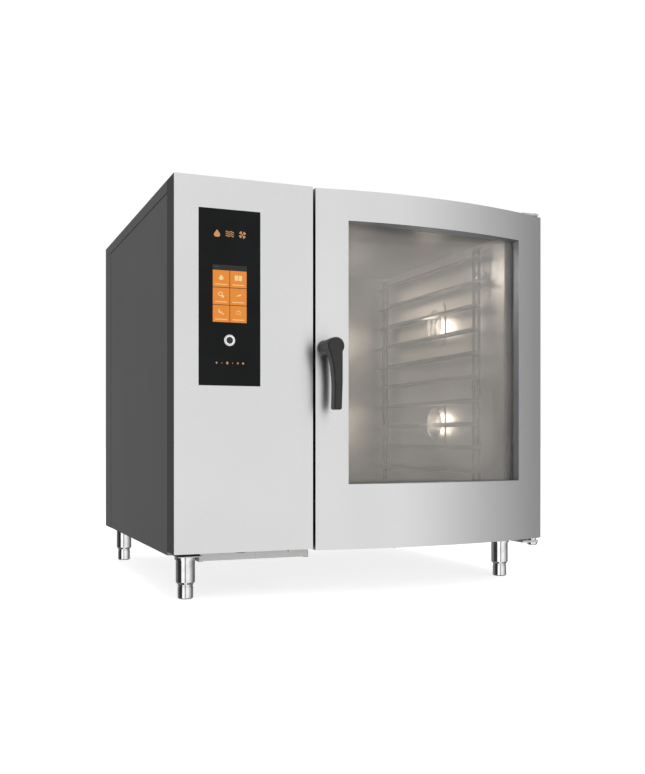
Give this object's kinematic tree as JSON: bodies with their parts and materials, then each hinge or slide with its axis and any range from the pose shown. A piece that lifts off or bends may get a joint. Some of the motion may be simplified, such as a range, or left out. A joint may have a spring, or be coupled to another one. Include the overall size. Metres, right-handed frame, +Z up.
{
  "type": "combi steamer oven",
  "caption": "Counter-top combi steamer with a curved glass door on a side hinge, a lever latch, a touch-screen fascia, lift-out tray racks, a fan and levelling feet.",
  "frame": {"origin": "on the floor, under the middle of the whole outline", "axes": "+X to the right as seen from the front, +Y to the back, +Z up"},
  "size_m": [1.111, 1.144, 1.151],
  "materials": {
    "front_steel": "fine vertical brushing, satin",
    "side_steel": "dark satin sheet",
    "cavity_steel": "brushed stainless, warmed by use",
    "rack_steel": "electropolished rod and strip",
    "structural_steel": "plain stainless sheet",
    "polished_steel": "turned and polished",
    "element_steel": "heat-tinted tube",
    "filter_steel": "satin frame and mesh",
    "cast_aluminium": "cast",
    "brass": "turned",
    "black_glass": "glossy black glass front",
    "clear_glass": "clear toughened pane",
    "lamp_glass": "clear borosilicate",
    "black_plastic": "moulded, finely textured",
    "button_plastic": "moulded",
    "white_plastic": "moulded",
    "display_plastic": "moulded carrier",
    "circuit_board": "lacquered board",
    "silicone": "soft silicone",
    "mineral_wool": "pressed fibre"
  },
  "bodies": {
    "cabinet": {"base_frame": "structural_steel", "bottom_plate": "structural_steel", "leg_sleeves": "polished_steel", "left_side_panel": "side_steel", "right_side_panel": "side_steel", "rear_panel": "side_steel", "top_cover": "side_steel", "control_fascia": "front_steel", "control_glass": "black_glass", "touch_display": "display_plastic", "button_ring": "white_plastic", "control_board": "circuit_board", "cavity_liner": "cavity_steel", "front_frame": "cavity_steel", "door_gasket": "silicone", "insulation": "mineral_wool", "fan_baffle": "cavity_steel", "fan_motor": "cast_aluminium", "motor_bracket": "structural_steel", "heating_element": "element_steel", "water_injector": "polished_steel", "lamp_housings": "structural_steel", "lamp_trims": "cavity_steel", "lamp_lenses": "lamp_glass", "lamp_bulbs": "lamp_glass", "rack_pins": "polished_steel", "drain_grate": "cavity_steel", "drain_pipe": "structural_steel", "vent_pipe": "structural_steel", "flap_actuator": "black_plastic", "keeper_plate": "polished_steel", "hinge_brackets": "structural_steel", "hinge_pins": "polished_steel", "water_inlets": "brass", "cable_gland": "black_plastic", "filter_rails": "structural_steel", "case_screws": "polished_steel"},
    "door": {"door_skin": "front_steel", "door_back_frame": "cavity_steel", "outer_glass": "clear_glass", "inner_glass": "clear_glass", "glass_clips": "black_plastic", "glass_gaskets": "silicone", "hinge_bushes": "brass", "handle_rose": "black_plastic", "drip_gutter": "cavity_steel"},
    "handle": {"handle_grip": "black_plastic", "handle_spindle": "polished_steel", "latch_bar": "polished_steel"},
    "fan": {"fan_wheel": "cavity_steel", "motor_shaft": "polished_steel"},
    "start_button": {"start_button": "button_plastic"},
    "vent_flap": {"vent_flap": "structural_steel"},
    "left_rack": {"left_rack": "rack_steel"},
    "right_rack": {"right_rack": "rack_steel"},
    "air_filter": {"air_filter": "filter_steel"},
    "foot_front_left": {"foot_front_left": "polished_steel"},
    "foot_front_right": {"foot_front_right": "polished_steel"},
    "foot_back_left": {"foot_back_left": "polished_steel"},
    "foot_back_right": {"foot_back_right": "polished_steel"}
  },
  "joints": [
    {"name": "door_hinge", "type": "hinge", "parent": "cabinet", "child": "door", "pos_m": [0.5325, -0.406, 0.6], "axis": [0, 0, 1], "range_deg": [0, 180]},
    {"name": "handle_turn", "type": "hinge", "parent": "door", "child": "handle", "pos_m": [-0.159, -0.52, 0.6425], "axis": [0, 1, 0], "range_deg": [-90, 90]},
    {"name": "fan_spin", "type": "hinge", "parent": "cabinet", "child": "fan", "pos_m": [-0.2, 0.041, 0.6145], "axis": [1, 0, 0], "continuous": true},
    {"name": "start_press", "type": "slide", "parent": "cabinet", "child": "start_button", "axis": [0, 1, 0], "range_m": [0, 0.0012], "stiffness_N_per_m": 1500, "springref_m": -0.0008},
    {"name": "flap_turn", "type": "hinge", "parent": "cabinet", "child": "vent_flap", "pos_m": [0.08, 0.33, 1.085], "axis": [1, 0, 0], "range_deg": [0, 90]},
    {"name": "left_rack_lift", "type": "slide", "parent": "cabinet", "child": "left_rack", "axis": [0, 0, 1], "range_m": [0, 0.018]},
    {"name": "right_rack_lift", "type": "slide", "parent": "cabinet", "child": "right_rack", "axis": [0, 0, 1], "range_m": [0, 0.018]},
    {"name": "filter_slide", "type": "slide", "parent": "cabinet", "child": "air_filter", "axis": [0, -1, 0], "range_m": [0, 0.2]},
    {"name": "front_left_level", "type": "slide", "parent": "cabinet", "child": "foot_front_left", "axis": [0, 0, -1], "range_m": [0, 0.025]},
    {"name": "front_right_level", "type": "slide", "parent": "cabinet", "child": "foot_front_right", "axis": [0, 0, -1], "range_m": [0, 0.025]},
    {"name": "back_left_level", "type": "slide", "parent": "cabinet", "child": "foot_back_left", "axis": [0, 0, -1], "range_m": [0, 0.025]},
    {"name": "back_right_level", "type": "slide", "parent": "cabinet", "child": "foot_back_right", "axis": [0, 0, -1], "range_m": [0, 0.025]}
  ]
}
